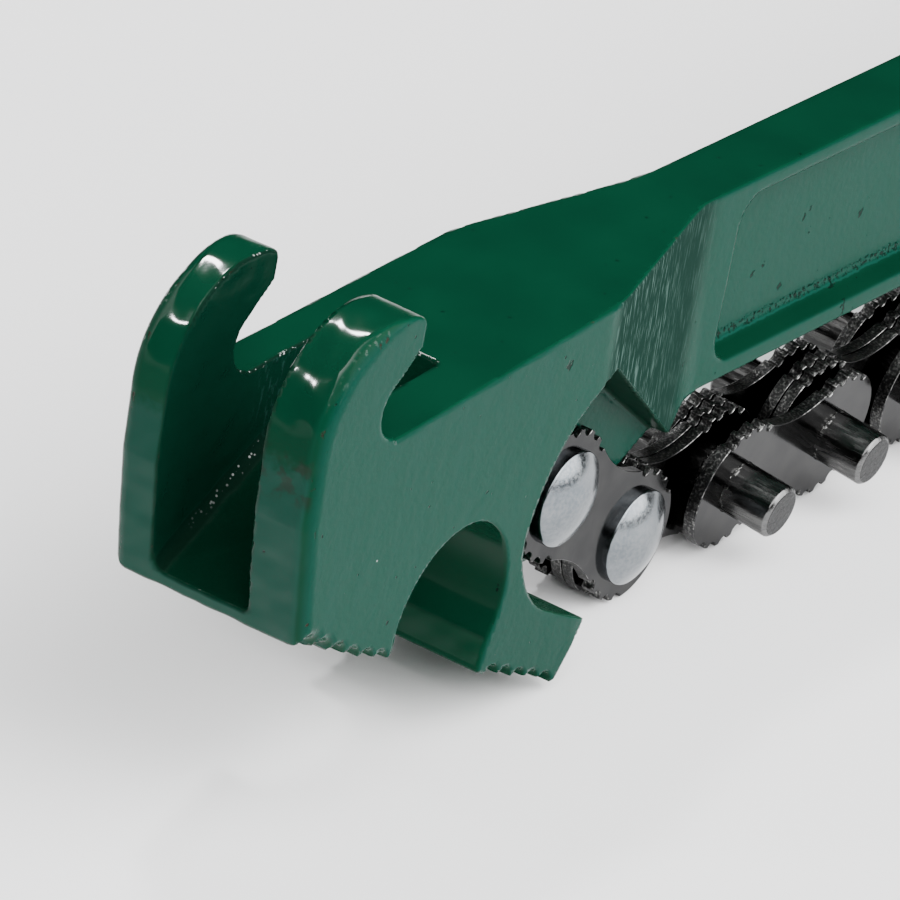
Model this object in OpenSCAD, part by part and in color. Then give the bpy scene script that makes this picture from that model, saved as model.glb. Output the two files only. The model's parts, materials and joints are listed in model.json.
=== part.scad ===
// Chain wrench: one cast lever with a toothed foot and two hooked horns, and a leaf chain pinned to it.
// Millimetres. +X runs from the horns to the end of the lever, Y is the width, Z is up from the table.

/* [Head] */
// Width of the head across its two side faces, where the taper starts
head_w = 18; // [14:0.5:22]
// Growth of that width from the taper to the front of the horns
flare = 1.8; // [0:0.1:2.4]
// Height of the top of the horns over the foot, square to the lever
horn_top = 46.9; // [45.5:0.1:49]
// Radius of the rounded back of each horn
horn_r = 9.9; // [9.2:0.1:10.6]
// Width of the slot that the chain drops into
slot_w = 9.8; // [9:0.1:11]
// Shift of that slot to the far side, so that the near horn is the thicker one
slot_shift = 0.7; // [0:0.1:1.2]
// Slope of the foot against the lever, in degrees
foot_angle = 22; // [20:0.5:24]
// Radius of the arch between the two toothed feet
arch_r = 9; // [7.5:0.25:9.5]
// Spacing of the teeth along the feet
foot_pitch = 2.65; // [2.4:0.05:2.7]
// Depth of the teeth on the feet
foot_tooth = 0.9; // [0.5:0.05:1.1]
// Thickness of the web that carries the chain
web_t = 4.2; // [3.4:0.1:4.3]

/* [Lever] */
// Overall length of the casting, from the horns to the end of the lever
tool_l = 300; // [250:5:380]
// Height of the lever
lever_h = 20; // [18:0.5:22]
// Thickness of the lever across its flanges
lever_t = 7; // [5.5:0.25:9]
// Height of the top of the lever over the foot
lever_top = 38.5; // [37.5:0.1:39.5]
// Depth of the panel sunk into each side of the lever
panel_depth = 2; // [0.8:0.1:2.4]
// Height of the flange above and below the panel
flange = 1.6; // [1.2:0.1:3]
// Length of the taper from the head to the lever
taper_l = 21.4; // [18:0.2:23]
// Diameter of the hanging hole
hang_d = 9; // [6:0.5:12]

/* [Chain] */
// Pitch of the chain
pitch = 15.875; // [15.4:0.025:16.5]
// Radius of the link plates over the teeth
lobe_r = 6.35; // [6:0.05:6.5]
// Height of a link plate at its waist
waist_h = 9.3; // [8:0.1:10.5]
// Thickness of an outer plate
outer_t = 1.25; // [1:0.05:1.5]
// Thickness of an inner plate
inner_t = 1.15; // [0.9:0.05:1.4]
// Gap between the two outer plates of a link
inside_w = 4.5; // [4.5:0.05:5]
// Diameter of the pins and of the rivet shanks
pin_d = 5.08; // [4.5:0.02:5.4]
// Length of a pin
pin_l = 17; // [15:0.25:18]
// Diameter of the domed rivet heads
rivet_d = 9.4; // [8:0.1:10.4]
// Height of the domed rivet heads
rivet_h = 1.8; // [0.9:0.05:2.2]
// Depth of the notches that form the teeth of a plate
notch_depth = 0.6; // [0.4:0.05:0.75]
// Radius of those round notches
notch_r = 0.65; // [0.5:0.05:0.75]

/* [Fits] */
// Radial play of the pins in the inner plates and of the rivet in the web
pin_play = 0.1; // [0.04:0.01:0.1]
// Gap between the two inner plates of a link
leaf_gap = 0.1; // [0.06:0.02:0.2]
// Height of the heel over the table, with the head carried by the stiff first link
stand = 0.6; // [0.1:0.1:1]
// Gap between the lever and the chain it rests on
rest_gap = 0.08; // [0.04:0.02:0.3]

/* [Hidden] */
$fn = 96;
lever_bottom = lever_top - lever_h;
horn_x = -38.7;
horn_z = horn_top - horn_r;
front_x = horn_x - horn_r;
end_r = lever_h / 2;
end_x = front_x + tool_l - end_r;
end_z = lever_top - end_r;
hang_r = hang_d / 2;
pin_r = pin_d / 2;
seat = [-36, 38.3];
seat_r = pin_r + 0.41;
top_a = -36.3;
top_z = 35.2;
taper_a = -1.1;
taper_end = taper_a + taper_l;
foot_l = 49.3;
front_base = [-foot_l * cos(foot_angle), foot_l * sin(foot_angle)];
toe_back = [4, 5.1];
toe_fall = 0.43;
arch = [-20.6, 13.3];
tooth_r = 1.35;
tooth_out = tooth_r - foot_tooth;
anchor = [5.4, 14.3];
web_r = 6.5;
wall_r = 16;
wall_c = [5.8, 15];
// Number of links, odd so that the free end is an outer link
links = 19;
plate_y = inside_w / 2;
chain_w = inside_w + 2 * outer_t;
// The loose chain lies over to the near side: links 2 and 3 each take up most of their play
lean_step = atan(0.75 * pin_play / (inner_t + leaf_gap / 2));
chain_lean = 2 * lean_step;
side_room = plate_y - inner_t - leaf_gap / 2 - lobe_r * sin(lean_step);
slack = 0.85 * side_room;
chain_z = lobe_r * cos(chain_lean) + chain_w / 2 * sin(chain_lean);
// The lever leans down to the rear until its end lies on the chain
chain_top = 2 * chain_z;
rest_reach = sqrt(end_x * end_x + lever_bottom * lever_bottom);
tilt = atan2(lever_bottom, end_x) - asin((chain_top + rest_gap - stand) / rest_reach);
// Chain joints over the table, before the frame is centred
j1_x = anchor[0] * cos(tilt) + anchor[1] * sin(tilt);
j1_z = stand + anchor[1] * cos(tilt) - anchor[0] * sin(tilt);
drop = asin((j1_z - lobe_r) / pitch);
j2_x = j1_x + pitch * cos(drop);
climb = asin((chain_z + slack * tan(chain_lean) - lobe_r) / pitch);
j3_x = j2_x + pitch * cos(climb);
chain_end = j3_x + (links - 2) * pitch + lobe_r;
front_end = horn_x * cos(tilt) + horn_z * sin(tilt) - horn_r;
shift_x = -(front_end + chain_end) / 2;
// Waist of a plate: a hollow arc that runs smoothly into both lobes
half_p = pitch / 2;
half_w = waist_h / 2;
hollow_r = (half_p * half_p + half_w * half_w - lobe_r * lobe_r) / (2 * (lobe_r - half_w));
hollow_z = half_w + hollow_r;
meet = lobe_r / (lobe_r + hollow_r);
dome_r = (rivet_d * rivet_d / 4 + rivet_h * rivet_h) / (2 * rivet_h);

green = [0.05, 0.30, 0.21];
black = [0.16, 0.16, 0.17];
steel = [0.28, 0.28, 0.29];
zinc = [0.75, 0.77, 0.78];

// Carries the casting, drawn with the lever level, to its rest on the table
module at_rest() {
  translate([shift_x, 0, stand]) rotate([0, tilt, 0]) children();
}

// Extrudes a side outline across the width, between -w/2 and w/2
module across(w) {
  rotate([90, 0, 0]) linear_extrude(height = w, center = true) children();
}

// Side outline of the casting between its round ends: head, chain web and lever
module casting_outline() {
  polygon([
    front_base,
    [front_base[0] - 1.2, front_base[1] + 5.5],
    [front_x + 0.5, horn_z - 7],
    [front_x, horn_z],
    [horn_x, horn_z + 4],
    [end_x, horn_z + 4],
    [end_x, lever_bottom],
    [26, lever_bottom],
    [23.6, lever_bottom - 0.4],
    [22.2, lever_bottom - 1.7],
    [20.6, lever_bottom - 3.3],
    [anchor[0] + web_r * cos(62), anchor[1] - web_r * sin(62)],
    [anchor[0], anchor[1] - web_r],
    [-2.2, toe_back[1] + toe_fall * (toe_back[0] + 2.2)],
    toe_back,
    [0, 0]
  ]);
}

// The outline made solid, with the round backs of the horns and the round end of the lever
module casting_block() {
  full = head_w + flare + 2;
  wide = full + 2;
  difference() {
    union() {
      across(full) casting_outline();
      translate([horn_x, 0, horn_z]) rotate([90, 0, 0]) cylinder(r = horn_r, h = full, center = true);
      translate([end_x, 0, end_z]) rotate([90, 0, 0]) cylinder(r = end_r, h = full, center = true);
      translate([anchor[0], 0, anchor[1]]) rotate([90, 0, 0]) cylinder(r = web_r, h = full, center = true);
    }
    across(wide) above_head();
    translate([seat[0], 0, seat[1]]) rotate([90, 0, 0]) cylinder(r = seat_r, h = wide, center = true);
    across(wide) arch_gap();
    translate([arch[0], 0, arch[1]]) rotate([90, 0, 0]) cylinder(r = arch_r, h = wide, center = true);
    across(wide) foot_teeth();
  }
}

// Everything over the head and lever that is air, down to the round seat that takes a chain pin
module above_head() {
  polygon([
    [top_a, top_z],
    [taper_end, lever_top],
    [end_x + 2 * end_r, lever_top],
    [end_x + 2 * end_r, lever_top + 30],
    [-34.7, lever_top + 30],
    [-34.7, 43.4],
    [seat[0] - seat_r * cos(50), seat[1] + seat_r * sin(50)]
  ]);
}

// Arch between the front foot and the rear foot
module arch_gap() {
  polygon([
    [arch[0] - arch_r, arch[1]],
    [arch[0] + arch_r, arch[1]],
    [-14.2, 5.7],
    [-15.6, 0],
    [-33, 8]
  ]);
}

// Rounded grooves that leave pointed teeth along both feet
module foot_teeth() {
  rotate(180 - foot_angle) {
    for (i = [0:4]) {
      translate([1.9 + i * foot_pitch, tooth_out]) circle(r = tooth_r);
    }
    for (i = [0:5]) {
      translate([foot_l - 1.7 - i * foot_pitch, tooth_out]) circle(r = tooth_r);
    }
  }
}

// Side pocket that leaves only the web, so the first link can straddle it
module pocket_outline() {
  polygon(concat(
    [[24, toe_back[1] - toe_fall * (24 - toe_back[0])]],
    [[-2.6, toe_back[1] + toe_fall * (toe_back[0] + 2.6)]],
    [for (t = [0:5]) [-4.4 + 5.2 * cos(240 - 12 * t), 13.4 + 5.2 * sin(240 - 12 * t)]],
    [for (t = [0:8]) wall_c + wall_r * [cos(172 - 8 * t), sin(172 - 8 * t)]],
    [[20.6, lever_bottom - 2.4], [24, lever_bottom - 5]]
  ));
}

// Slot between the horns: a ramp from the front lip that sweeps up to the top of the head
module slot_outline() {
  ramp = 29;
  sweep = 12;
  lip = [-46, 19.7];
  turn = lip + 15 * [cos(ramp), sin(ramp)];
  mid = turn + sweep * [-sin(ramp), cos(ramp)];
  translate(mid) circle(r = sweep);
  polygon([
    lip - 20 * [cos(ramp), sin(ramp)],
    turn,
    mid,
    mid + [sweep, 0],
    mid + [sweep, 40],
    [-80, mid[1] + 40]
  ]);
}

// Panel sunk into the side of the lever, with round corners
module panel_outline() {
  corner = 3;
  near = 27.4;
  far = end_x - 18;
  low = lever_bottom + flange + 0.2;
  high = lever_top - flange;
  for (x = [near + corner, far - corner]) {
    for (z = [low + corner, high - corner]) {
      translate([x, z]) circle(r = corner);
    }
  }
  translate([near, low + corner]) square([far - near, high - low - 2 * corner]);
  translate([near + corner, low]) square([far - near - 2 * corner, high - low]);
}

// Plan shape: full width at the head, tapering to the lever, with faces that lean a little forward
module plan_shape() {
  lean = 8;
  side = head_w / 2;
  thin = lever_t / 2;
  wide = side + flare / 2 * (taper_a + 120) / (taper_a - front_x);
  translate([0, 0, lever_top - 1]) rotate([0, -lean, 0]) {
    linear_extrude(height = 400, center = true) {
      polygon([
        [-120, wide],
        [taper_a, side],
        [taper_end, thin],
        [2 * tool_l, thin],
        [2 * tool_l, -thin],
        [taper_end, -thin],
        [taper_a, -side],
        [-120, -wide]
      ]);
    }
  }
}

module lever_casting() {
  cut = head_w / 2 + 2;
  color(green) at_rest() difference() {
    intersection() {
      casting_block();
      plan_shape();
    }
    for (s = [-1, 1]) {
      translate([0, s * (web_t + cut) / 2, 0]) across(cut) pocket_outline();
      translate([0, s * (lever_t / 2 - panel_depth + cut / 2), 0]) across(cut) panel_outline();
    }
    translate([0, slot_shift, 0]) across(slot_w) slot_outline();
    translate([end_x, 0, end_z]) rotate([90, 0, 0]) cylinder(r = hang_r, h = head_w, center = true);
    translate([anchor[0], 0, anchor[1]]) rotate([90, 0, 0]) {
      cylinder(r = pin_r + pin_play, h = head_w, center = true);
    }
  }
}

// Outline of a link plate from one joint to the next: two toothed lobes and a hollow waist
module plate_outline(hole_r) {
  meet_x = half_p * meet;
  meet_z = hollow_z * meet;
  difference() {
    union() {
      circle(r = lobe_r);
      translate([pitch, 0]) circle(r = lobe_r);
      difference() {
        translate([meet_x, -meet_z]) square([pitch - 2 * meet_x, 2 * meet_z]);
        translate([half_p, hollow_z]) circle(r = hollow_r);
        translate([half_p, -hollow_z]) circle(r = hollow_r);
      }
    }
    for (x = [0, pitch]) {
      turn = x > 0 ? 180 : 0;
      translate([x, 0]) circle(r = hole_r);
      for (t = [64:18:118]) {
        for (s = [-1, 1]) {
          translate([x, 0]) rotate(turn + s * t) {
            translate([lobe_r - notch_depth + notch_r, 0]) circle(r = notch_r);
          }
        }
      }
    }
  }
}

// Puts a link at its joint: the first slopes down from the web, the second lies over, the rest follow it
module at_link(k) {
  x = k == 1 ? j1_x : k == 2 ? j2_x : j3_x + (k - 3) * pitch;
  z = k == 1 ? j1_z : k == 2 ? lobe_r : chain_z;
  fall = k == 1 ? drop : k == 2 ? -climb : 0;
  steps = min(k - 1, 2);
  translate([shift_x + x, -steps * slack, z]) rotate([steps * lean_step, fall, 0]) children();
}

module outer_plates(k) {
  color(black) at_link(k) {
    for (s = [-1, 1]) {
      translate([0, s * (plate_y + outer_t / 2), 0]) across(outer_t) plate_outline(pin_r);
    }
  }
}

module inner_plates(k) {
  color(black) at_link(k) {
    for (s = [-1, 1]) {
      translate([0, s * (leaf_gap + inner_t) / 2, 0]) across(inner_t) plate_outline(pin_r + pin_play);
    }
  }
}

// Two pins of an outer link, riveted into its plates and standing out on both sides
module pins(k) {
  bevel = 0.35;
  flat = pin_l / 2 - bevel;
  color(steel) at_link(k) {
    for (x = [0, pitch]) {
      translate([x, 0, 0]) rotate([90, 0, 0]) {
        cylinder(r = pin_r, h = 2 * flat, center = true);
        for (s = [0, 180]) {
          rotate([s, 0, 0]) translate([0, 0, flat]) cylinder(r1 = pin_r, r2 = pin_r - bevel, h = bevel);
        }
      }
    }
  }
}

// Two rivets of the first link, with a low dome on each side
module rivets(k) {
  color(zinc) at_link(k) {
    for (x = [0, pitch]) {
      translate([x, 0, 0]) rotate([90, 0, 0]) {
        cylinder(r = pin_r, h = chain_w, center = true);
        for (s = [0, 180]) {
          rotate([s, 0, 0]) intersection() {
            translate([0, 0, chain_w / 2 + rivet_h - dome_r]) sphere(r = dome_r);
            translate([0, 0, chain_w / 2]) cylinder(r = rivet_d / 2 + 1, h = rivet_h + 1);
          }
        }
      }
    }
  }
}

// Each link by its place along the chain: odd links are outer ones, even links inner ones
module link01_plates() { outer_plates(1); }
module link01_rivets() { rivets(1); }
module link02_plates() { inner_plates(2); }
module link03_plates() { outer_plates(3); }
module link03_pins() { pins(3); }
module link04_plates() { inner_plates(4); }
module link05_plates() { outer_plates(5); }
module link05_pins() { pins(5); }
module link06_plates() { inner_plates(6); }
module link07_plates() { outer_plates(7); }
module link07_pins() { pins(7); }
module link08_plates() { inner_plates(8); }
module link09_plates() { outer_plates(9); }
module link09_pins() { pins(9); }
module link10_plates() { inner_plates(10); }
module link11_plates() { outer_plates(11); }
module link11_pins() { pins(11); }
module link12_plates() { inner_plates(12); }
module link13_plates() { outer_plates(13); }
module link13_pins() { pins(13); }
module link14_plates() { inner_plates(14); }
module link15_plates() { outer_plates(15); }
module link15_pins() { pins(15); }
module link16_plates() { inner_plates(16); }
module link17_plates() { outer_plates(17); }
module link17_pins() { pins(17); }
module link18_plates() { inner_plates(18); }
module link19_plates() { outer_plates(19); }
module link19_pins() { pins(19); }

lever_casting();
link01_plates();
link01_rivets();
link02_plates();
link03_plates();
link03_pins();
link04_plates();
link05_plates();
link05_pins();
link06_plates();
link07_plates();
link07_pins();
link08_plates();
link09_plates();
link09_pins();
link10_plates();
link11_plates();
link11_pins();
link12_plates();
link13_plates();
link13_pins();
link14_plates();
link15_plates();
link15_pins();
link16_plates();
link17_plates();
link17_pins();
link18_plates();
link19_plates();
link19_pins();
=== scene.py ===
import json
import math

import bpy
import numpy as np
from mathutils import Matrix, Vector

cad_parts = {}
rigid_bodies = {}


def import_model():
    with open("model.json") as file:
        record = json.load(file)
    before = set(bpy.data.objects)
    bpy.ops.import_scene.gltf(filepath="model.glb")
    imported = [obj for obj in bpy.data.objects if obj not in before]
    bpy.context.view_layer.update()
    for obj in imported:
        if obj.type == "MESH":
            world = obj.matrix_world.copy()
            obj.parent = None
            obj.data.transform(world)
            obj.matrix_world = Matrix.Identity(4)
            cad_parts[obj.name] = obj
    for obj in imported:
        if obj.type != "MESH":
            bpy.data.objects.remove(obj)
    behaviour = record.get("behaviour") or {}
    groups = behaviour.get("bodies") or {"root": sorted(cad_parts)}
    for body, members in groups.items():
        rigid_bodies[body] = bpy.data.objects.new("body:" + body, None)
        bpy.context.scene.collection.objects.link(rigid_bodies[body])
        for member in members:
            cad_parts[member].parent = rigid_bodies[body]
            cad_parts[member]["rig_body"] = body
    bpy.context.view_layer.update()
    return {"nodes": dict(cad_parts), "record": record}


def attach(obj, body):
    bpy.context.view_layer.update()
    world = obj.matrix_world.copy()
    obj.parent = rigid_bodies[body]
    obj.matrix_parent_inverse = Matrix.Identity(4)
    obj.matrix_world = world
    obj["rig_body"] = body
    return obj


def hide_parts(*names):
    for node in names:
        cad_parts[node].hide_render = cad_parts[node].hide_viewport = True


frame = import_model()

# Camera
# A long lens close to the level of the work, from in front of the horns and to their left.
# It is rolled a little, so that uprights lean to the right.
lens_mm = 426.04
sensor_mm = 36.0
eye = Vector((-0.85206, -0.40180, 0.43155))
view_right = Vector((0.55482, -0.81582, 0.16313)).normalized()
view_up = Vector((0.29331, 0.37528, 0.87929))
view_back = view_right.cross(view_up).normalized()
view_up = view_back.cross(view_right)
camera_data = bpy.data.cameras.new("camera")
camera_data.lens = lens_mm
camera_data.sensor_width = sensor_mm
camera_data.clip_start = 0.05
camera_data.clip_end = 20.0
camera = bpy.data.objects.new("camera", camera_data)
turn = Matrix((view_right, view_up, view_back)).transposed().to_4x4()
camera.matrix_world = Matrix.Translation(eye) @ turn
bpy.context.scene.collection.objects.link(camera)
bpy.context.scene.camera = camera

# Table
# A wide pale sheet that the wrench lies on, plain and slightly soft in its reflections.
# It lies just under the lowest point of the wrench.
table_half = 3.0
table_top = -0.0002
table_pale = (0.90, 0.90, 0.91, 1.0)
table_white = (0.93, 0.93, 0.93, 1.0)
table_mesh = bpy.data.meshes.new("table")
table_mesh.from_pydata(
    [(sx * table_half, sy * table_half, table_top) for sx, sy in ((-1, -1), (1, -1), (1, 1), (-1, 1))],
    [],
    [(0, 1, 2, 3)],
)
table = bpy.data.objects.new("table", table_mesh)
bpy.context.scene.collection.objects.link(table)


class Value:
    """A shader socket in a Python expression: arithmetic on it adds Math nodes to its tree."""

    def __init__(self, tree, socket):
        self.tree = tree
        self.socket = socket

    def node(self, kind, settings=None, inputs=None, output=0):
        """Adds a node: its settings first, then its sockets' values or links."""
        made = self.tree.nodes.new(kind)
        for key, value in (settings or {}).items():
            setattr(made, key, value)
        for key, value in (inputs or {}).items():
            if isinstance(value, Value):
                self.tree.links.new(value.socket, made.inputs[key])
            else:
                made.inputs[key].default_value = value
        return Value(self.tree, made.outputs[output])

    def math(self, operation, *numbers):
        return self.node("ShaderNodeMath", {"operation": operation}, dict(enumerate(numbers)))

    def __add__(self, other):
        return self.math("ADD", self, other)

    def __radd__(self, other):
        return self.math("ADD", other, self)

    def __sub__(self, other):
        return self.math("SUBTRACT", self, other)

    def __rsub__(self, other):
        return self.math("SUBTRACT", other, self)

    def __mul__(self, other):
        return self.math("MULTIPLY", self, other)

    def __rmul__(self, other):
        return self.math("MULTIPLY", other, self)

    def __abs__(self):
        return self.math("ABSOLUTE", self)

    def step(self, low, high, bottom=0.0, top=1.0):
        """Rises smoothly from bottom to top as this value goes from low to high."""
        return self.node(
            "ShaderNodeMapRange",
            {"interpolation_type": "SMOOTHSTEP"},
            {"Value": self, "From Min": low, "From Max": high, "To Min": bottom, "To Max": top},
        )

    def noise(self, size, detail=3.0, stretch=(1.0, 1.0, 1.0), turn=(0.0, 0.0, 0.0)):
        """Even noise on this position, turned and stretched, with grains of about size millimetres."""
        scaled = self.node(
            "ShaderNodeMapping",
            {"vector_type": "POINT"},
            {"Vector": self, "Scale": stretch, "Rotation": turn},
        )
        return self.node(
            "ShaderNodeTexNoise", None, {"Vector": scaled, "Scale": 1000.0 / size, "Detail": detail}
        )

    def mix(self, first, second):
        """Blends two colours by this factor."""
        return self.node(
            "ShaderNodeMix",
            {"data_type": "RGBA"},
            {"Factor": self, 6: first, 7: second},
            output=2,
        )


def new_finish(name):
    """A material with its shader, the object position and that position's x, y and z as values."""
    material = bpy.data.materials.new(name)
    material.use_nodes = True
    tree = material.node_tree
    shader = tree.nodes["Principled BSDF"]
    start = Value(tree, None)
    place = start.node("ShaderNodeTexCoord", output=3)
    axes = [place.node("ShaderNodeSeparateXYZ", None, {0: place}, output=i) for i in range(3)]
    return material, shader, place, axes


def feed(shader, **sockets):
    """Links or sets a shader's sockets; an underscore in a name stands for a space."""
    for key, value in sockets.items():
        socket = shader.inputs[key.replace("_", " ")]
        if isinstance(value, Value):
            value.tree.links.new(value.socket, socket)
        else:
            socket.default_value = value


table_finish, shader, place, _ = new_finish("table_white")
feed(
    shader,
    Base_Color=place.noise(60.0).step(0.2, 0.8).mix(table_pale, table_white),
    Roughness=0.6,
    Specular_IOR_Level=0.2,
)
table_mesh.materials.append(table_finish)

# Studio light
# A large soft box from the near right, a broad ceiling and a weaker fill for the far side.
# Two small lamps beyond the wrench glint on the horns.
# The sky is dark near the horizon beyond the wrench, so that the top faces keep their deep colour.
head_centre = Vector((-0.150, 0.0, 0.025))


def soft_box(name, direction, distance, size, power):
    """A square light in that direction and at that distance from the head, facing it, in metres and watts."""
    data = bpy.data.lights.new(name, "AREA")
    data.size = size
    data.energy = power
    box = bpy.data.objects.new(name, data)
    away = Vector(direction).normalized()
    box.location = head_centre + away * distance
    box.rotation_euler = away.to_track_quat("Z", "Y").to_euler()
    bpy.context.scene.collection.objects.link(box)


soft_box("key", (0.35, -0.80, 0.62), 1.8, 2.0, 86.0)
soft_box("ceiling", (-0.35, -0.55, 1.0), 2.2, 3.0, 122.0)
soft_box("back_fill", (-0.25, 1.0, 0.35), 2.2, 2.4, 20.0)
soft_box("high_lamp", (0.29, 0.46, 0.84), 1.5, 0.16, 9.0)
soft_box("left_lamp", (-0.64, 0.46, 0.61), 1.5, 0.07, 2.5)
world = bpy.data.worlds.new("studio")
world.use_nodes = True
bpy.context.scene.world = world
sky = Value(world.node_tree, None)
sky_place = sky.node("ShaderNodeTexCoord", output=0)
sky_axes = [sky.node("ShaderNodeSeparateXYZ", None, {0: sky_place}, output=i) for i in range(3)]
sky_level = (sky_axes[2] * 0.9 - sky_axes[1] * 0.3).step(0.30, 1.0, 0.02, 1.0)
world.node_tree.links.new(sky_level.socket, world.node_tree.nodes["Background"].inputs["Strength"])

# Lever casting
# One steel casting with a coat of dark green enamel: head, horns, toothed feet, chain web and lever.
# Its faces are flat as cast, its edges are softened by the mould and by the thick paint.
# Sizes are in millimetres along (a), across (y) and up (b) the casting, from its foot's lowest corner.
mm = 0.001
horn = np.array((-38.7, 37.0))
horn_r = 9.9
seat = np.array((-36.0, 38.3))
seat_r = 2.95
lever_top = 38.5
lever_bottom = 18.5
lever_half = 3.5
head_half = 9.0
head_flare = 0.9
head_front = -48.6
lever_end = np.array((241.4, 28.5))
end_r = 10.0
hang_r = 4.5
foot_slope = math.radians(22.0)
foot_l = 49.3
foot_front = foot_l * np.array((-math.cos(foot_slope), math.sin(foot_slope)))
toe_back = np.array((4.0, 5.1))
toe_fall = 0.43
arch = np.array((-21.1, 13.3))
arch_r = 8.8
tooth_r = 1.35
tooth_out = 0.45
tooth_pitch = 2.65
anchor = np.array((5.4, 14.3))
web_r = 6.5
web_half = 2.1
web_bore = 2.64
slot_half = 4.9
slot_shift = 0.7
taper_start = -1.1
taper_end = 20.3
taper_lean = math.radians(8.0)
panel_floor = 1.5
panel_draft = 0.45
panel_start = 27.4
panel_stop = 223.4
panel_low = 20.3
panel_high = 36.9
panel_corner = 3.0
panel_round = 0.6
shoulder_round = 0.5
neck_round = 0.6
slot_ramp = math.radians(29.0)
slot_run = 21.2
slot_sweep = 12.0
slot_lip = np.array((-46.0, 19.7))
hook_round = 0.7
arch_round = 0.35
tooth_round = 0.18
cut_round = 0.3
bore_round = 0.25


def polygon_field(corners, a, b):
    """Signed distance to a polygon: the nearest edge, negative where a ray crosses an odd number of edges."""
    corners = np.asarray(corners, float)
    nearest = np.full(np.broadcast(a, b).shape, 1e9)
    inside = np.zeros(nearest.shape, bool)
    for (a0, b0), (a1, b1) in zip(corners, np.roll(corners, -1, axis=0)):
        da, db = a1 - a0, b1 - b0
        along = np.clip(((a - a0) * da + (b - b0) * db) / (da * da + db * db), 0.0, 1.0)
        nearest = np.minimum(nearest, np.hypot(a - a0 - along * da, b - b0 - along * db))
        if db != 0.0:
            inside ^= ((b0 > b) != (b1 > b)) & (a < a0 + da * (b - b0) / db)
    return np.where(inside, -nearest, nearest)


def disc(centre, r, a, b):
    """Signed distance to a disc."""
    return np.hypot(a - centre[0], b - centre[1]) - r


def both(p, q, r):
    """What two solids share, with the edge between them rounded to radius r."""
    return np.minimum(-r, np.maximum(p, q)) + np.hypot(np.maximum(p + r, 0.0), np.maximum(q + r, 0.0))


def either(p, q, r):
    """Two solids joined, with the corner between them filled to radius r."""
    return np.maximum(r, np.minimum(p, q)) - np.hypot(np.maximum(r - p, 0.0), np.maximum(r - q, 0.0))


def arc_points(centre, r, first, last, count):
    """Points along an arc, with its angles in degrees."""
    t = np.radians(np.linspace(first, last, count))
    return np.stack((centre[0] + r * np.cos(t), centre[1] + r * np.sin(t)), axis=1)


def side_field(a, b):
    """Side view: an outline, round horns, lever end and web, less the hook, the arch and the teeth."""
    below_lever = web_r * np.array((math.cos(math.radians(62)), -math.sin(math.radians(62))))
    outline = [
        foot_front,
        foot_front + (-1.2, 5.5),
        (horn[0] - horn_r + 0.5, horn[1] - 7.0),
        (horn[0] - horn_r, horn[1]),
        (horn[0], horn[1] + 4.0),
        (lever_end[0], horn[1] + 4.0),
        (lever_end[0], lever_bottom),
        (26.0, lever_bottom),
        (23.6, lever_bottom - 0.4),
        (22.2, lever_bottom - 1.7),
        (20.6, lever_bottom - 3.3),
        anchor + below_lever,
        anchor - (0.0, web_r),
        (-2.2, toe_back[1] + toe_fall * (toe_back[0] + 2.2)),
        toe_back,
        (0.0, 0.0),
    ]
    solid = polygon_field(outline, a, b)
    for centre, r in ((horn, horn_r), (lever_end, end_r), (anchor, web_r)):
        solid = np.minimum(solid, disc(centre, r, a, b))
    reach = 2.0 * end_r
    air = polygon_field(
        [
            (-36.3, 35.2),
            (taper_end, lever_top),
            (lever_end[0] + reach, lever_top),
            (lever_end[0] + reach, lever_top + 30.0),
            (-34.7, lever_top + 30.0),
            (-34.7, 43.4),
            seat + seat_r * np.array((-math.cos(math.radians(50)), math.sin(math.radians(50)))),
        ],
        a,
        b,
    )
    air = np.minimum(air, disc(seat, seat_r, a, b))
    solid = both(solid, -air, hook_round)
    gap = polygon_field(
        [arch - (arch_r, 0.0), arch + (arch_r, 0.0), (-14.2, 5.7), (-15.6, 0.0), (-33.0, 8.0)], a, b
    )
    gap = np.minimum(gap, disc(arch, arch_r, a, b))
    solid = both(solid, -gap, arch_round)
    along = -a * math.cos(foot_slope) + b * math.sin(foot_slope)
    below = -a * math.sin(foot_slope) - b * math.cos(foot_slope)
    rows = np.concatenate(
        (1.9 + tooth_pitch * np.arange(5), foot_l - 1.7 - tooth_pitch * np.arange(6))
    )
    for row in rows:
        solid = both(solid, -disc((row, tooth_out), tooth_r, along, below), tooth_round)
    return solid


def plan_field(a, y, b):
    """Plan view: a head that flares to the front, a taper whose face leans forward, then the lever."""
    shifted = a - (b - lever_top + 1.0) * math.tan(-taper_lean)
    slope = math.atan2(head_half - lever_half, taper_end - taper_start)
    across = np.abs(y)
    taper = (shifted - taper_start) * math.sin(slope) + (across - head_half) * math.cos(slope)
    flare = head_flare / (taper_start - head_front)
    flank = across - head_half - flare * (taper_start - shifted)
    head = both(flank, taper, shoulder_round)
    return either(head, across - lever_half, neck_round)


def slot_field(a, y, b):
    """The chain slot: a ramp from the front lip that sweeps up to the top of the head."""
    along = np.array((math.cos(slot_ramp), math.sin(slot_ramp)))
    start = slot_lip + slot_run * along
    middle = start + slot_sweep * np.array((-math.sin(slot_ramp), math.cos(slot_ramp)))
    clear = 40.0
    flat = polygon_field(
        [
            slot_lip - 20.0 * along,
            start,
            middle,
            middle + (slot_sweep, 0.0),
            middle + (slot_sweep, clear),
            (-80.0, middle[1] + clear),
        ],
        a,
        b,
    )
    flat = np.minimum(flat, disc(middle, slot_sweep, a, b))
    corner = 0.5 + 1.1 * np.clip(y - slot_shift, 0.0, 1.0)
    return both(flat, np.abs(y - slot_shift) - slot_half, corner)


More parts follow.
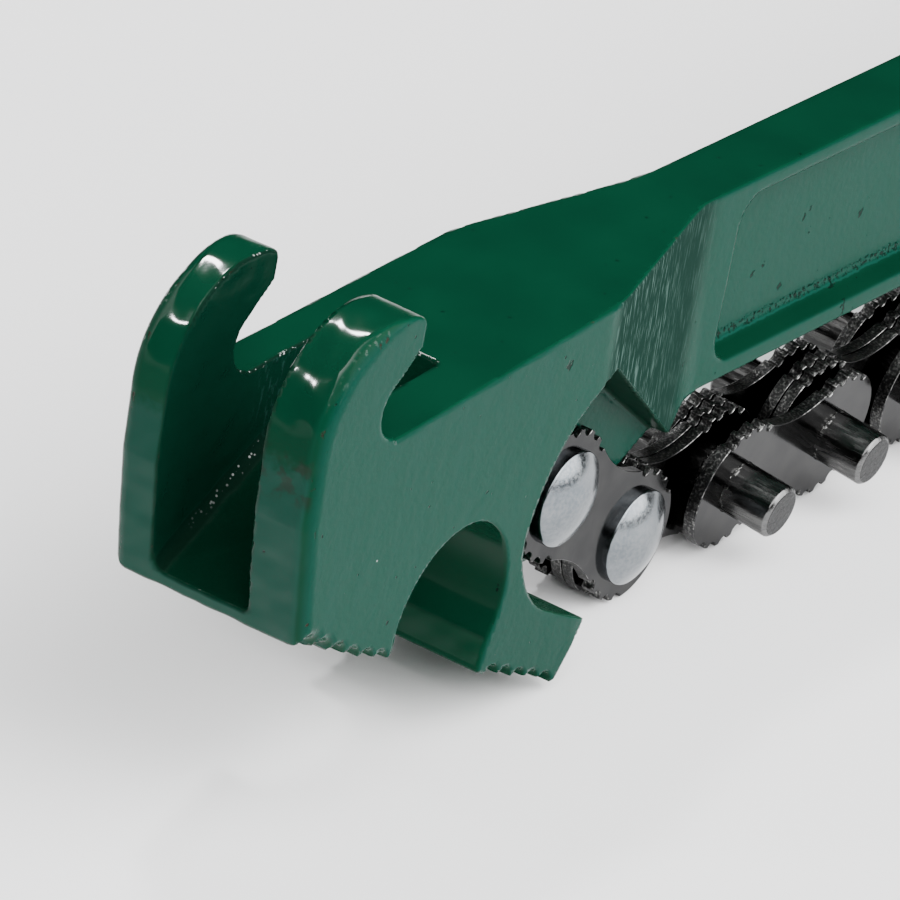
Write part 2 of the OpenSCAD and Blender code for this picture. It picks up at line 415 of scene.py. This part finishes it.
def pocket_field(a, y, b):
    """The two side pockets that leave only the web, where the first link sits."""
    corners = np.concatenate(
        (
            [(24.0, toe_back[1] - toe_fall * (24.0 - toe_back[0]))],
            arc_points((1.2, 18.8), 11.56, 249, 196, 9),
            arc_points((5.8, 15.0), 16.0, 172, 108, 9),
            [(20.6, lever_bottom - 2.4), (24.0, lever_bottom - 5.0)],
        )
    )
    fillet = 0.5 + 2.0 * np.clip((1.0 - a) / 3.0, 0.0, 1.0) * np.clip((13.0 - b) / 3.0, 0.0, 1.0)
    return both(polygon_field(corners, a, b), web_half - np.abs(y), fillet)


def panel_field(a, y, b):
    """The panels sunk into the lever: a rounded rectangle that narrows towards its floor."""
    middle = ((panel_start + panel_stop) / 2, (panel_low + panel_high) / 2)
    half_a = (panel_stop - panel_start) / 2 - panel_corner
    half_b = (panel_high - panel_low) / 2 - panel_corner
    qa = np.abs(a - middle[0]) - half_a
    qb = np.abs(b - middle[1]) - half_b
    flat = np.hypot(np.maximum(qa, 0.0), np.maximum(qb, 0.0))
    flat = flat + np.minimum(np.maximum(qa, qb), 0.0) - panel_corner
    rise = lever_half - np.abs(y)
    return both((flat + rise * panel_draft) * 0.9, panel_floor - np.abs(y), panel_round)


def net(field, a, y, b):
    """Skin of the zero level: a point per crossed cell, the mean of its crossings, a face per crossed edge."""
    size = np.array(field.shape) - 1
    axes = (a, y, b)
    total = np.zeros((int(np.prod(size)), 3))
    count = np.zeros(int(np.prod(size)))
    loops = []
    for axis in range(3):
        low = np.take(field, range(field.shape[axis] - 1), axis)
        high = np.take(field, range(1, field.shape[axis]), axis)
        edge = np.stack(np.nonzero((low < 0) != (high < 0)), axis=1)
        ends = tuple(edge.T)
        share = low[ends] / (low[ends] - high[ends])
        where = np.stack([axes[i][edge[:, i]] for i in range(3)], axis=1)
        where[:, axis] += share * (axes[axis][edge[:, axis] + 1] - where[:, axis])
        u, v = (axis + 1) % 3, (axis + 2) % 3
        ring = []
        for du, dv in ((-1, -1), (0, -1), (0, 0), (-1, 0)):
            cell = edge.copy()
            cell[:, u] += du
            cell[:, v] += dv
            ring.append(np.ravel_multi_index(tuple(cell.T), tuple(size)))
            for i in range(3):
                total[:, i] += np.bincount(ring[-1], where[:, i], len(count))
            count += np.bincount(ring[-1], minlength=len(count))
        ring = np.stack(ring, axis=1)
        loops.append(np.where((low[ends] < 0)[:, None], ring, ring[:, ::-1]))
    used = np.nonzero(count)[0]
    number = np.full(len(count), -1)
    number[used] = np.arange(len(used))
    return total[used] / count[used, None], number[np.concatenate(loops)]


def steps(*spans):
    """Grid lines from span to span, each given as its end and its spacing after a first start."""
    lines = [np.array([spans[0]])]
    for stop, gap in spans[1:]:
        start = lines[-1][-1]
        n = max(1, int(round((stop - start) / gap)))
        lines.append(np.linspace(start, stop, n + 1)[1:])
    return np.concatenate(lines)


def casting_field(a, y, b):
    """What side and plan views share, less pockets, panels, slot and bores; soft and sharp edges."""
    edge_round = 0.35 + 1.2 * np.clip((-a - 37.0) / 6.0, 0.0, 1.0)
    side = side_field(a, b)
    plan = plan_field(a, y, b)
    soft = both(side, plan, edge_round)
    sharp = np.maximum(side, plan)
    cuts = [(cut(a, y, b), cut_round) for cut in (pocket_field, panel_field, slot_field)]
    bores = ((lever_end, hang_r), (anchor, web_bore))
    cuts += [(disc(centre, r, a, b), bore_round) for centre, r in bores]
    for cut, r in cuts:
        soft = both(soft, -cut, r)
        sharp = np.maximum(sharp, -cut)
    return soft, sharp


def ripple(a, y, b, seed, shortest, longest):
    """Uneven skin: the sum of many sine waves in all directions, between two lengths, about one high."""
    waves = 40
    rng = np.random.default_rng(seed)
    total = np.zeros(np.broadcast(a, y, b).shape)
    for _ in range(waves):
        way = rng.normal(size=3)
        way *= 2.0 * math.pi / np.linalg.norm(way) / rng.uniform(shortest, longest)
        total += np.sin(way[0] * a + way[1] * y + way[2] * b + rng.uniform(0.0, 6.3))
    return total / math.sqrt(waves / 2)


def cast_skin(a, y, b):
    """The casting with the low waves of its mould, strongest on the horns and away from the flat sides."""
    inner = np.clip(-plan_field(a, y, b) / 1.5, 0.0, 1.0)
    wave = 0.003 + 0.024 * inner * np.clip((-a - 33.0) / 5.0, 0.0, 1.0)
    return casting_field(a, y, b)[0] + wave * ripple(a, y, b, 5, 1.8, 5.0)


grid_a = steps(-49.9, (31.0, 0.4), (36.0, 0.8), (216.0, 2.5), (252.6, 0.7))
grid_y = steps(-10.2, (10.2, 0.4))
grid_b = steps(-1.03, (48.1, 0.4))
whole = casting_field(grid_a[:, None, None], grid_y[None, :, None], grid_b[None, None, :])[0]
points, faces = net(whole, grid_a, grid_y, grid_b)
# Each point then moves along the field's slope, until it lies on the soft and slightly wavy skin.
nudge = 0.01
furthest = 0.2
for _ in range(3):
    level = cast_skin(*points.T)
    slope = np.stack(
        [(cast_skin(*(points + shift).T) - level) / nudge for shift in nudge * np.eye(3)], axis=1
    )
    steep = np.maximum((slope**2).sum(axis=1), 0.25)
    points = points - np.clip(level / steep, -furthest, furthest)[:, None] * slope
soft, sharp = casting_field(*points.T)
# The first pin and the hanging hole say how the casting lies in the frame.
hinges = {joint["name"]: joint for joint in frame["record"]["behaviour"]["joints"]}
pin_x, _, pin_z = np.array(hinges["link01_hinge"]["pos_m"]) / mm
hole_x, _, hole_z = np.array(frame["record"]["mounts"][0]["pos_m"]) / mm
lean = math.atan2(lever_end[1] - anchor[1], lever_end[0] - anchor[0])
lean -= math.atan2(hole_z - pin_z, hole_x - pin_x)


def laid_down(a, y, b):
    """Turns directions along, across and up the casting into the frame's x, y and z, by its lean."""
    x = a * math.cos(lean) + b * math.sin(lean)
    z = b * math.cos(lean) - a * math.sin(lean)
    return np.stack((x, y, z), axis=1)


placed = laid_down(points[:, 0] - anchor[0], points[:, 1], points[:, 2] - anchor[1])
placed = placed + (pin_x, 0.0, pin_z)
outward = laid_down(*slope.T)
outward = outward / np.linalg.norm(outward, axis=1)[:, None]
casting_mesh = bpy.data.meshes.new("casting_skin")
casting_mesh.from_pydata(placed * mm, [], faces.tolist())
casting_mesh.shade_smooth()
casting_mesh.normals_split_custom_set_from_vertices(outward)
in_slot = np.clip(1.5 - np.abs(slot_field(*points.T)) / 0.2, 0.0, 1.0)
layers = (("along", points[:, 0]), ("up", points[:, 2]), ("edge", soft - sharp), ("in_slot", in_slot))
for name, values in layers:
    layer = casting_mesh.attributes.new(name, "FLOAT", "POINT")
    layer.data.foreach_set("value", np.ascontiguousarray(values, np.float32))
casting = bpy.data.objects.new("casting_skin", casting_mesh)
bpy.context.scene.collection.objects.link(casting)


def emboss(height):
    """A bump from a height in millimetres."""
    return height.node("ShaderNodeBump", None, {"Height": height, "Distance": 0.001, "Strength": 1.0})


deep_green = (0.0012, 0.0290, 0.0141, 1.0)
full_green = (0.0017, 0.0340, 0.0166, 1.0)
flank_reflection_green = (0.0023, 0.0345, 0.0232, 1.0)
front_reflection_green = (0.0026, 0.039, 0.0262, 1.0)
foot_green = (0.0014, 0.024, 0.0165, 1.0)
fleck_green = (0.0014, 0.026, 0.0170, 1.0)
shaded_green = (0.0008, 0.014, 0.0070, 1.0)
crease_shade_green = (0.0004, 0.007, 0.0038, 1.0)
wrinkle_green = (0.0100, 0.040, 0.0320, 1.0)
lip_highlight_green = (0.0090, 0.066, 0.0500, 1.0)
crest_highlight_green = (0.0080, 0.075, 0.0540, 1.0)
ridge_highlight_green = (0.0060, 0.066, 0.0480, 1.0)
stain_brown = (0.0105, 0.0150, 0.0095, 1.0)
bare_iron = (0.020, 0.013, 0.009, 1.0)
pit_shade_black = (0.001, 0.008, 0.005, 1.0)
dust_and_glint_grey = (0.45, 0.47, 0.46, 1.0)
scratch_dark = (0.0085, 0.0235, 0.0180, 1.0)
scratch_light = (0.0480, 0.0880, 0.0750, 1.0)
enamel, shader, place, axes = new_finish("green_enamel")
along, up, edge, well = [
    place.node("ShaderNodeAttribute", {"attribute_name": name}, output=2) for name, _ in layers
]
facing = place.node("ShaderNodeNewGeometry", output=1)
ahead, across, upward = [
    place.node("ShaderNodeSeparateXYZ", None, {0: facing}, output=i) for i in range(3)
]
# Masks, by where a face looks and by its place along and up the casting: sides, grain and worn edges.
flank = abs(across).step(0.55, 0.92)
near = (0.0 - across).step(0.5, 0.6)
tone = place.noise(9.0, 4.0).step(0.3, 0.7)
runs = place.noise(1.6, 3.0, (1.0, 1.0, 0.12)).step(0.35, 0.75)
peel = place.noise(1.1, 2.0)
grit = place.noise(0.45, 3.0)
fleck = place.noise(0.7, 4.0).step(0.30, 0.72)
floor = well * upward.step(0.1, 0.4)
worn = edge.step(0.03, 0.12) * place.noise(1.6, 4.0).step(0.63, 0.69)
# Blow-holes of the casting: places along and up the near side, and their radii, with ragged rims.
jag = place.noise(0.7, 3.0) - 0.5
fray = place.noise(0.35, 2.0) - 0.5
shaded_pits = place.noise(0.9, 1.0).step(0.77, 0.81)
for hole_a, hole_b, hole_r in (
    (-8.6, 33.6, 0.55),
    (42.8, 30.0, 0.30),
    (43.7, 30.7, 0.25),
    (53.5, 27.4, 0.35),
    (35.3, 26.4, 0.30),
    (37.0, 26.8, 0.25),
    (40.8, 23.6, 0.30),
    (36.0, 35.7, 0.25),
    (21.6, 22.4, 0.30),
):
    da, db = along - hole_a + jag * 1.6, up - hole_b + fray * 1.2
    shaded_pits = shaded_pits + near * (hole_r**2 - da * da - db * db).step(0.0, 0.6 * hole_r**2)
# A crack in the paint across the lower flange, and ragged hollows along the foot of the panel.
crack = (0.26 - abs(along - 50.1 + jag * 2.6)).step(0.0, 0.12)
crack = crack * (1.7 - abs(up - 20.4)).step(0.0, 0.5)
hollow = (0.50 - abs(up - 21.80 + jag * 0.8)).step(0.0, 0.30)
hollow = hollow * along.step(28.0, 30.0) * fray.step(0.03, 0.09)
shaded_pits = shaded_pits + near * (crack + hollow)
# Painted highlight: a thin light line along the edge just below the hollows.
ridge_highlight = near * along.step(28.0, 30.0) * (0.12 - abs(up - 21.25 + jag * 0.3)).step(0.0, 0.08)
# Gloss: full on top, less towards the rolled edges and in the arch, none in the slot.
beads = place.noise(0.5, 2.0).step(0.58, 0.64) * across.step(-0.3, 0.0, 0.25, 1.0)
rolled = abs(across).step(0.12, 0.40) * (1.0 - edge.step(0.05, 0.1) * beads)
arch_a, arch_b = along - float(arch[0]), up - float(arch[1])
under_arch = (arch_r**2 + 4.0 - arch_a * arch_a - arch_b * arch_b).step(0.0, 2.0)
under_arch = under_arch * (1.0 - flank)
gloss = upward.step(0.15, 0.5) * (1.0 - rolled) * (1.0 - floor * 0.6) * (1.0 - under_arch * 0.7)
gloss = gloss * (1.0 - well) * (1.0 - ahead.step(0.05, 0.30))
front = (0.0 - ahead).step(0.8, 0.95) * (0.0 - along).step(38.0, 42.0)
front = front * (35.2 - up + jag * 4.0).step(-1.2, 1.2)
gloss = gloss + front * 0.09
overhang = (0.0 - ahead).step(0.2, 0.6) * (0.0 - upward).step(0.0, 0.3) * up.step(8.0, 11.0)
gloss = gloss + overhang * 0.14
# Dust: lone specks and crumbs along the slot's creases. Painted glints: light dots on the slot's rim.
cell, lone = [
    place.node("ShaderNodeTexVoronoi", None, {"Vector": place, "Scale": 300.0}, output=i)
    for i in (0, 1)
]
lone = lone.node("ShaderNodeSeparateColor", None, {0: lone})
shaded_crease = well * (0.0 - across * upward).step(0.15, 0.35)
nook = well * (0.0 - across * upward).step(0.36, 0.47) * up.step(22.0, 27.0)
dust_and_glints = (0.035 - cell).step(0.0, 0.01) * (lone + under_arch * 0.35).step(0.80, 0.82)
crumb = place.node("ShaderNodeTexVoronoi", None, {"Vector": place, "Scale": 2200.0})
dust_and_glints = dust_and_glints + nook * (0.27 - crumb).step(0.0, 0.04)
rim_glint_dots = well * up.step(34.0, 35.0) * along.step(-36.0, -34.0) * edge.step(0.02, 0.06)
dust_and_glints = dust_and_glints + rim_glint_dots * place.noise(0.5, 2.0).step(0.60, 0.64)
# The taper, a painted highlight along the edge between it and the pocket, and the pocket's shaded upper wall.
taper = (along - 4.0).step(-6.0, -4.0) * (24.0 - along).step(0.0, 4.0) * up.step(11.0, 14.0)
taper = taper * flank * abs(axes[1]).step(0.0030, 0.0034)
lip_highlight = edge.step(0.04, 0.09) * along.step(-2.0, 0.0) * (22.0 - along).step(0.0, 2.0)
lip_highlight = lip_highlight * up.step(10.0, 12.0) * (34.0 - up).step(0.0, 1.0)
taper = taper * upward.step(-0.35, -0.15) * (1.0 - lip_highlight)
shade = (0.0 - upward).step(0.2, 0.5) * along.step(-12.0, -9.0) * (26.0 - along).step(0.0, 3.0)
shade = shade * up.step(8.0, 10.0)
brush_turn = (0.0, math.radians(-9.0), 0.0)
brush = place.noise(0.24, 2.5, (1.0, 1.0, 0.10), brush_turn).step(0.52, 0.66)
brush = brush * (18.0 - along).step(0.0, 8.0, 0.35, 1.0)
ledge = upward.step(0.4, 0.7) * (25.0 - up).step(0.0, 1.0) * along.step(26.0, 28.0)
# The paint, from the ground colour to what lies on it.
paint = tone.mix(deep_green, full_green)
# Painted reflection: the sides and the lower fronts of the prongs get a lighter, greyer and bluer green,
# standing in for the pale table that they mirror. Lower down, the sides turn darker towards the bottom.
paint = (flank * (0.85 + 0.15 * runs) + front * 0.2).mix(paint, flank_reflection_green)
paint = (front * 0.8).mix(paint, front_reflection_green)
paint = (flank * (20.0 - up).step(0.0, 14.0) * 0.3).mix(paint, foot_green)
paint = (flank * fleck * 0.22).mix(paint, fleck_green)
paint = (well * 0.84 + ledge * 0.55 + under_arch * 0.4 + shade * 0.85).mix(paint, shaded_green)
# Painted shade along the creases where the slot's walls meet its floor.
paint = (shaded_crease * 0.6).mix(paint, crease_shade_green)
# Brown stains near the top of the near prong's front.
stained = (0.0 - ahead).step(0.6, 0.85) * (0.0 - axes[1]).step(0.0040, 0.0045)
stained = stained * (0.0 - along).step(38.0, 42.0) * up.step(31.5, 33.0)
stained = stained * (37.0 - up).step(0.0, 1.0) * place.noise(1.7, 3.0).step(0.47, 0.60)
paint = (stained * 0.6).mix(paint, stain_brown)
# Wrinkled paint on the slot's far wall, then painted highlights along the edges, wear, painted shade in the
# pits, then specks of dust and painted glints.
wrinkled = well * (0.0 - across).step(0.7, 0.9) * along.step(-35.5, -32.0) * up.step(26.0, 32.0)
wrinkle_turn = (0.0, math.radians(25.0), 0.0)
wrinkle = place.noise(0.55, 3.0, (1.0, 1.0, 0.45), wrinkle_turn).step(0.50, 0.66)
paint = (wrinkled * wrinkle * 0.6).mix(paint, wrinkle_green)
# Painted highlight: a lighter line along the middle of the rounded edges, fainter in the slot and at the front
# of the horns.
crest_highlight = edge.step(0.05, 0.10) * (1.0 - edge.step(0.13, 0.20)) * (1.0 - well * 0.5)
crest_highlight = crest_highlight * along.step(-40.0, -36.0, 0.4, 1.0)
paint = (lip_highlight * 0.6).mix(paint, lip_highlight_green)
paint = (crest_highlight * 0.12).mix(paint, crest_highlight_green)
paint = (ridge_highlight * 0.35).mix(paint, ridge_highlight_green)
paint = worn.mix(paint, bare_iron)
# Painted shade: the pits, the crack and the hollows are only shallow bumps, so their insides are painted near
# black.
paint = (shaded_pits * 0.9).mix(paint, pit_shade_black)
paint = (dust_and_glints * 0.7).mix(paint, dust_and_glint_grey)
relief = peel * 0.012 + fleck * flank * 0.010 + grit * (0.004 + floor * 0.05)
relief = relief + wrinkled * wrinkle * 0.05 - shaded_pits * 0.06 - worn * 0.04
feed(
    shader,
    Base_Color=paint,
    Roughness=tone.step(0.0, 1.0, 0.14, 0.20) + worn * 0.35 + shaded_crease * 0.5 + shade * 0.5,
    Specular_IOR_Level=0.024,
    Coat_Weight=gloss * (1.0 - worn),
    Coat_Roughness=0.09,
    Normal=emboss(relief),
)
# The taper was ground before painting: dull, with dark paint left in the fine scratches.
scratched = brush.mix(scratch_dark, scratch_light)
dull = place.node(
    "ShaderNodeBsdfPrincipled",
    None,
    {
        "Base Color": scratched,
        "Roughness": 0.6,
        "Specular IOR Level": 0.0,
        "Normal": emboss(brush * 0.03 + peel * 0.01),
    },
)
coated = place.node(
    "ShaderNodeMixShader", None, {0: taper, 1: Value(place.tree, shader.outputs[0]), 2: dull}
)
place.tree.links.new(coated.socket, place.tree.nodes["Material Output"].inputs["Surface"])
casting_mesh.materials.append(enamel)
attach(casting, "wrench")
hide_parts("lever_casting")


# Chain plates
# Stamped steel plates with toothed lobes, black from the hardening bath.
# Each is a copy of its solid with the sharp edges of the stamping broken.
def broken_edges(node, name, width, finish):
    """A merged copy of a solid whose sharp edges are rounded to that width, on the same body."""
    source = frame["nodes"][node]
    mesh = source.data.copy()
    mesh.name = name
    piece = bpy.data.objects.new(name, mesh)
    bpy.context.scene.collection.objects.link(piece)
    weld = piece.modifiers.new("weld", "WELD")
    weld.merge_threshold = 1e-6
    flat = piece.modifiers.new("flat", "DECIMATE")
    flat.decimate_type = "DISSOLVE"
    flat.angle_limit = math.radians(1.0)
    edge = piece.modifiers.new("edge", "BEVEL")
    edge.width = width
    edge.segments = 2
    edge.limit_method = "ANGLE"
    edge.angle_limit = math.radians(40.0)
    edge.use_clamp_overlap = True
    mesh.shade_smooth()
    smooth = piece.modifiers.new("facets", "WEIGHTED_NORMAL")
    smooth.keep_sharp = False
    mesh.materials.clear()
    mesh.materials.append(finish)
    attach(piece, source["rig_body"])
    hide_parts(node)


plate_edge = 0.14 * mm
plate_dark = (0.030, 0.030, 0.031, 1.0)
plate_light = (0.044, 0.044, 0.044, 1.0)
bare_and_glint_bright = (0.30, 0.30, 0.29, 1.0)
steel_tint = (0.70, 0.70, 0.70, 1.0)
black, shader, place, _ = new_finish("black_steel")
facing = place.node("ShaderNodeNewGeometry", output=1)
across = abs(place.node("ShaderNodeSeparateXYZ", None, {0: facing}, output=1))
rim = 1.0 - across.step(0.3, 0.8)
stain = place.noise(2.5, 4.0).step(0.3, 0.7)
torn = place.noise(0.24, 3.0)
# Painted highlight: lighter steel in patches along the broken edges between the faces and the rims.
corner = across.step(0.15, 0.45) * (1.0 - across.step(0.80, 0.95))
corner = corner * place.noise(0.5, 3.0).step(0.46, 0.62)
# The rims' light flecks are partly torn bare steel and partly painted glints.
glint = rim * (torn.step(0.44, 0.72) * 0.5 + torn.step(0.66, 0.70) * 0.5) + corner * 0.6
face = stain.mix(plate_dark, plate_light)
feed(
    shader,
    Base_Color=glint.mix(face, bare_and_glint_bright),
    Roughness=stain.step(0.0, 1.0, 0.11, 0.15) + rim * 0.22,
    Metallic=1.0,
    Specular_Tint=steel_tint,
    Normal=emboss(place.noise(0.5, 3.0) * 0.003 + torn * rim * 0.06),
)
for node in sorted(frame["nodes"]):
    if node.endswith("_plates"):
        broken_edges(node, node.replace("_plates", "_leaves"), plate_edge, black)

# Chain pins
# Round pins cut from drawn bar, with sawn ends.
# They are riveted into the outer plates and stand out on both sides, to catch in the horns.
pin_edge = 0.10 * mm
drawn_dark = (0.060, 0.060, 0.060, 1.0)
drawn_light = (0.115, 0.115, 0.113, 1.0)
sawn_dark = (0.029, 0.029, 0.030, 1.0)
sawn_light = (0.042, 0.042, 0.042, 1.0)
bevel_glint_bright = (0.20, 0.20, 0.20, 1.0)
drawn, shader, place, axes = new_finish("dark_steel")
facing = place.node("ShaderNodeNewGeometry", output=1)
across = abs(place.node("ShaderNodeSeparateXYZ", None, {0: facing}, output=1))
# How far out from the plates a point lies, along the pins of the chain as it leans.
_, middle_y, middle_z = hinges["link03_hinge"]["pos_m"]
_, lean_y, lean_z = hinges["link03_hinge"]["axis"]
plate_face = max(vertex.co.y for vertex in frame["nodes"]["link01_plates"].data.vertices)
out = abs((axes[1] - middle_y) * lean_y + (axes[2] - middle_z) * lean_z) - plate_face
cut_end = across.step(0.85, 0.95)
# Painted highlight: a lighter ring on the bevel round each sawn end.
corner = across.step(0.2, 0.4) * (1.0 - cut_end)
streak = place.noise(0.35, 3.0, (1.0, 0.10, 1.0)).step(0.30, 0.75)
scratch = place.noise(0.16, 2.0, (1.0, 0.12, 1.0)).step(0.64, 0.74)
# Nicks round the root, where each pin is staked to its plate.
nick = (0.00035 - out).step(0.0, 0.00015) * place.noise(0.45, 2.0).step(0.54, 0.60)
side = streak.mix(drawn_dark, drawn_light)
side = (scratch * 0.5 + nick * 0.8).mix(side, bare_and_glint_bright)
end = place.noise(0.6, 4.0).step(0.3, 0.7).mix(sawn_dark, sawn_light)
feed(
    shader,
    Base_Color=(corner * 0.4).mix(cut_end.mix(side, end), bevel_glint_bright),
    Roughness=streak.step(0.0, 1.0, 0.20, 0.32),
    Metallic=1.0,
    Specular_Tint=steel_tint,
    Normal=emboss(streak * 0.008 + place.noise(0.3, 3.0) * 0.008 + nick * 0.03),
)
for node in sorted(frame["nodes"]):
    if node.endswith("_pins"):
        broken_edges(node, node.replace("_pins", "_studs"), pin_edge, drawn)


# Rivets
# Two zinc-plated rivets hold the first link to the web and to the chain.
# Each head is a thick disc with a low dome and a soft edge.
head_r = 4.55 * mm
head_rim = 0.75 * mm
head_dome = 1.40 * mm
head_edge = 0.22 * mm
shank_r = 2.54 * mm
bloom_dark = (0.125, 0.143, 0.158, 1.0)
bloom_light = (0.180, 0.196, 0.208, 1.0)
zinc_light = (0.27, 0.28, 0.29, 1.0)


def rivet_surface(centre, sides=96):
    """A turned rivet: a shank, and at both ends a rim, a round edge and a dome falling as radius squared."""
    inner_r = head_r - head_edge
    rim_top = plate_face + head_rim
    corner = [
        (inner_r + head_edge * math.sin(t), rim_top - head_edge + head_edge * math.cos(t))
        for t in np.radians(np.linspace(90, 20, 6))
    ]
    start_r, start_y = corner[-1]
    dome = [(start_r * t, start_y + head_dome * (1.0 - t * t)) for t in np.linspace(1.0, 0.02, 20)[1:]]
    half = [(shank_r, plate_face), (head_r, plate_face)] + corner + dome
    ring = np.array([(r, -y) for r, y in reversed(half)] + half)
    turn = np.linspace(0.0, 2.0 * math.pi, sides, endpoint=False)
    x = centre[0] + ring[:, :1] * np.cos(turn)
    y = np.broadcast_to(ring[:, 1:], x.shape)
    z = centre[2] + ring[:, :1] * np.sin(turn)
    points = np.stack((x, y, z), axis=2).reshape(-1, 3)
    here = np.arange(len(points) - sides).reshape(-1, sides)
    beside = np.roll(here, -1, axis=1)
    faces = np.stack((here, here + sides, beside + sides, beside), axis=2).reshape(-1, 4).tolist()
    last = len(points) - sides
    caps = [tuple(range(sides)), tuple(range(last, last + sides))[::-1]]
    return points, faces + caps


zinc, shader, place, _ = new_finish("zinc_steel")
mottle = place.noise(0.35, 4.0).step(0.3, 0.7)
cloud = place.noise(3.0, 3.0).step(0.3, 0.7)
bloom = cloud.mix(bloom_dark, bloom_light)
feed(
    shader,
    Base_Color=(mottle * 0.45).mix(bloom, zinc_light),
    Roughness=mottle.step(0.0, 1.0, 0.17, 0.26),
    Metallic=1.0,
    Normal=emboss(place.noise(0.30, 2.0) * 0.006),
)
rivet_points, rivet_faces = [], []
for joint in ("link01_hinge", "link02_hinge"):
    points, faces = rivet_surface(hinges[joint]["pos_m"])
    rivet_faces += [tuple(len(rivet_points) + i for i in face) for face in faces]
    rivet_points += points.tolist()
rivet_mesh = bpy.data.meshes.new("link01_heads")
rivet_mesh.from_pydata(rivet_points, [], rivet_faces)
rivet_mesh.shade_smooth()
rivet_mesh.set_sharp_from_angle(angle=math.radians(50.0))
rivet_mesh.materials.append(zinc)
rivets = bpy.data.objects.new("link01_heads", rivet_mesh)
bpy.context.scene.collection.objects.link(rivets)
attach(rivets, "link01")
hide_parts("link01_rivets")
